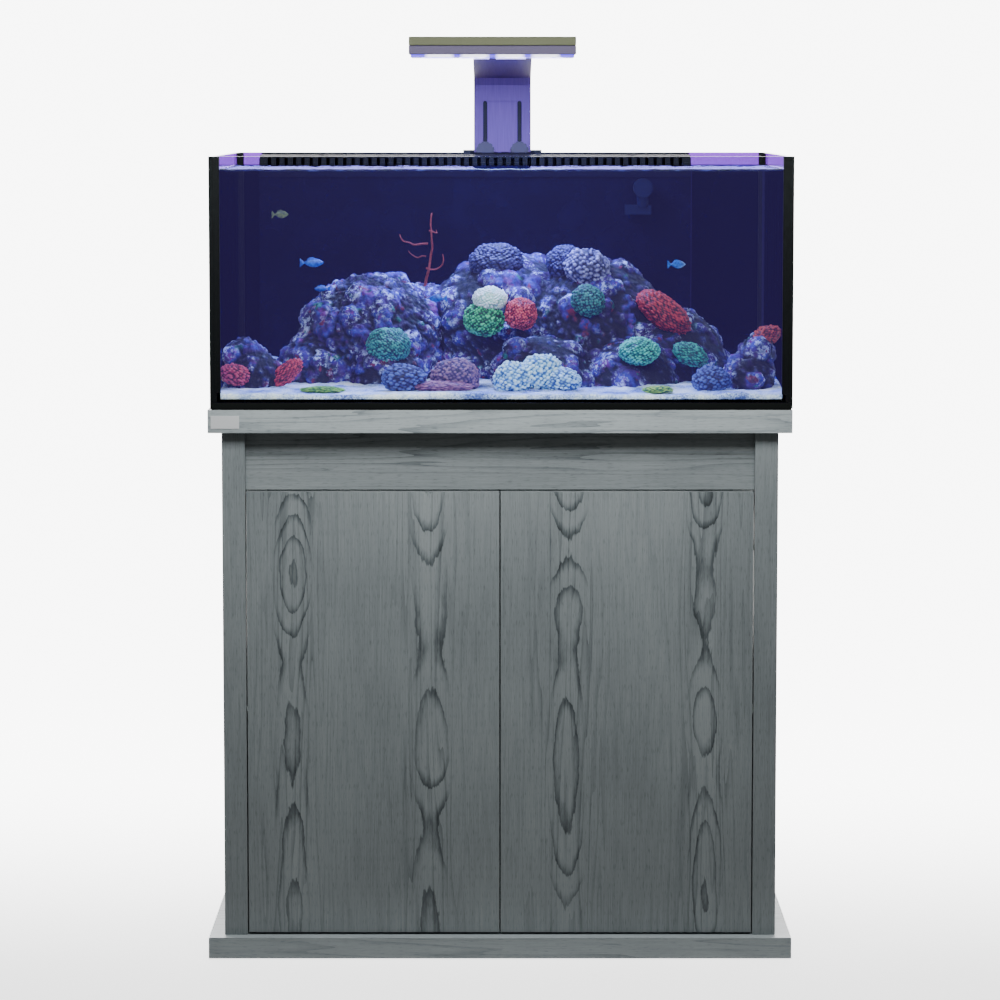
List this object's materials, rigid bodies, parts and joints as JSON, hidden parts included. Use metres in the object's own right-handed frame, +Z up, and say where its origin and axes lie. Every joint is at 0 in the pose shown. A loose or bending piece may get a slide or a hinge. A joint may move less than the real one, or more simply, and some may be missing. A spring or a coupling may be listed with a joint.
{
  "type": "aquarium on stand",
  "caption": "Rimless reef aquarium with rear weir and slim lamp on a bent arm, on a wood-grain cabinet with handleless doors, sump and return pump inside.",
  "frame": {"origin": "floor level, under the centre of the object's bounding box", "axes": "+X to the right seen from the front, -Y towards the front, +Z up"},
  "size_m": [0.912, 0.626, 1.441],
  "materials": {
    "oak_laminate": "grey stained oak laminate, satin",
    "back_board": "grey laminate board",
    "glide": "moulded nylon",
    "badge": "brushed, blank",
    "steel": "nickel plated",
    "latch": "moulded ABS",
    "glass": "clear float glass",
    "rear_glass": "black backed glass",
    "silicone": "black silicone",
    "foam": "closed cell foam",
    "black_acrylic": "polished black acrylic",
    "pvc": "grey PVC",
    "valve_red": "moulded",
    "sump_glass": "clear float glass",
    "sock": "white felt",
    "pump": "moulded",
    "rotor": "moulded",
    "sand": "fine coral sand",
    "rock": "porous reef rock",
    "coral": "coral heads",
    "gorgonian": "branching coral",
    "lamp_metal": "olive grey anodised",
    "arm_metal": "grey anodised",
    "led_board": "white solder mask",
    "lens": "LED lens, lit",
    "lens_trim": "moulded lens frame",
    "bracket": "black powder coat",
    "knob": "moulded"
  },
  "bodies": {
    "stand": {"floor_glides": "glide", "plinth_board": "oak_laminate", "side_panel_left": "oak_laminate", "side_panel_right": "oak_laminate", "header_panel": "oak_laminate", "back_panel": "back_board", "top_rails": "oak_laminate", "top_board": "oak_laminate", "badge_plate": "badge", "hinge_arms": "steel", "latch_housings": "latch", "foam_mat": "foam", "base_pane": "glass", "front_pane": "glass", "rear_pane": "rear_glass", "left_pane": "glass", "right_pane": "glass", "weir_box": "black_acrylic", "silicone_seams": "silicone", "bulkheads": "pvc", "standpipes": "pvc", "drain_pipes": "pvc", "return_pipes": "pvc", "valve_body": "pvc", "sump_tank": "sump_glass", "sump_baffles": "sump_glass", "sock_plate": "black_acrylic", "pump_housing": "pump", "sand_bed": "sand", "rock_main": "rock", "rock_left": "rock", "rock_small": "rock", "coral_heads": "coral", "gorgonian": "gorgonian", "clamp_bracket": "bracket", "clamp_screws": "steel"},
    "left_door": {"door_left": "oak_laminate", "hinge_cups_left": "steel"},
    "right_door": {"door_right": "oak_laminate", "hinge_cups_right": "steel"},
    "left_link": {"hinge_links_left": "steel"},
    "right_link": {"hinge_links_right": "steel"},
    "left_plunger": {"latch_plunger_left": "latch"},
    "right_plunger": {"latch_plunger_right": "latch"},
    "comb": {"weir_comb": "black_acrylic"},
    "lid": {"weir_lid": "black_acrylic"},
    "nozzle": {"return_nozzle": "pvc"},
    "lamp": {"lamp_arm": "arm_metal", "lamp_body": "lamp_metal", "led_board": "led_board", "lamp_cover": "lamp_metal", "lamp_lenses": "lens", "lens_frame": "lens_trim", "cable_gland": "knob"},
    "left_knob": {"thumb_knob_left": "knob"},
    "right_knob": {"thumb_knob_right": "knob"},
    "front_sock": {"filter_sock_front": "sock"},
    "rear_sock": {"filter_sock_rear": "sock"},
    "valve": {"valve_wheel": "valve_red"},
    "rotor": {"pump_rotor": "rotor"}
  },
  "joints": [
    {"name": "left_door_swing", "type": "hinge", "parent": "stand", "child": "left_door", "pos_m": [-0.394, -0.289, 0.388], "axis": [0, 0, -1], "range_deg": [0, 95]},
    {"name": "right_door_swing", "type": "hinge", "parent": "stand", "child": "right_door", "pos_m": [0.394, -0.289, 0.388], "axis": [0, 0, 1], "range_deg": [0, 95]},
    {"name": "left_link_turn", "type": "hinge", "parent": "left_door", "child": "left_link", "pos_m": [-0.37, -0.259, 0.388], "axis": [0, 0, -1], "range_deg": [-95, 0]},
    {"name": "right_link_turn", "type": "hinge", "parent": "right_door", "child": "right_link", "pos_m": [0.37, -0.259, 0.388], "axis": [0, 0, 1], "range_deg": [-95, 0]},
    {"name": "left_plunger_push", "type": "slide", "parent": "stand", "child": "left_plunger", "axis": [0, 1, 0], "range_m": [0, 0.004], "stiffness_N_per_m": 600, "springref_m": -0.003},
    {"name": "right_plunger_push", "type": "slide", "parent": "stand", "child": "right_plunger", "axis": [0, 1, 0], "range_m": [0, 0.004], "stiffness_N_per_m": 600, "springref_m": -0.003},
    {"name": "comb_lift", "type": "slide", "parent": "stand", "child": "comb", "axis": [0, 0, 1], "range_m": [0, 0.06]},
    {"name": "lid_lift", "type": "slide", "parent": "stand", "child": "lid", "axis": [0, 0, 1], "range_m": [0, 0.1]},
    {"name": "nozzle_swivel", "type": "hinge", "parent": "stand", "child": "nozzle", "pos_m": [0.238, 0.194, 1.196], "axis": [0, 1, 0], "range_deg": [-60, 60]},
    {"name": "lamp_height", "type": "slide", "parent": "stand", "child": "lamp", "axis": [0, 0, 1], "range_m": [-0.075, 0]},
    {"name": "left_knob_turn", "type": "hinge", "parent": "stand", "child": "left_knob", "pos_m": [-0.025, 0.3, 1.257], "axis": [0, 1, 0], "continuous": true},
    {"name": "right_knob_turn", "type": "hinge", "parent": "stand", "child": "right_knob", "pos_m": [0.033, 0.3, 1.257], "axis": [0, 1, 0], "continuous": true},
    {"name": "front_sock_lift", "type": "slide", "parent": "stand", "child": "front_sock", "axis": [0, 0, 1], "range_m": [0, 0.25]},
    {"name": "rear_sock_lift", "type": "slide", "parent": "stand", "child": "rear_sock", "axis": [0, 0, 1], "range_m": [0, 0.25]},
    {"name": "valve_turn", "type": "hinge", "parent": "stand", "child": "valve", "pos_m": [-0.285, 0.19, 0.56], "axis": [0, 1, 0], "continuous": true},
    {"name": "rotor_spin", "type": "hinge", "parent": "stand", "child": "rotor", "pos_m": [0.238, 0.234, 0.08], "axis": [1, 0, 0], "continuous": true}
  ],
  "couplings": [
    {"joint": "left_link_turn", "follows": "left_door_swing", "ratio": -1},
    {"joint": "right_link_turn", "follows": "right_door_swing", "ratio": -1}
  ]
}
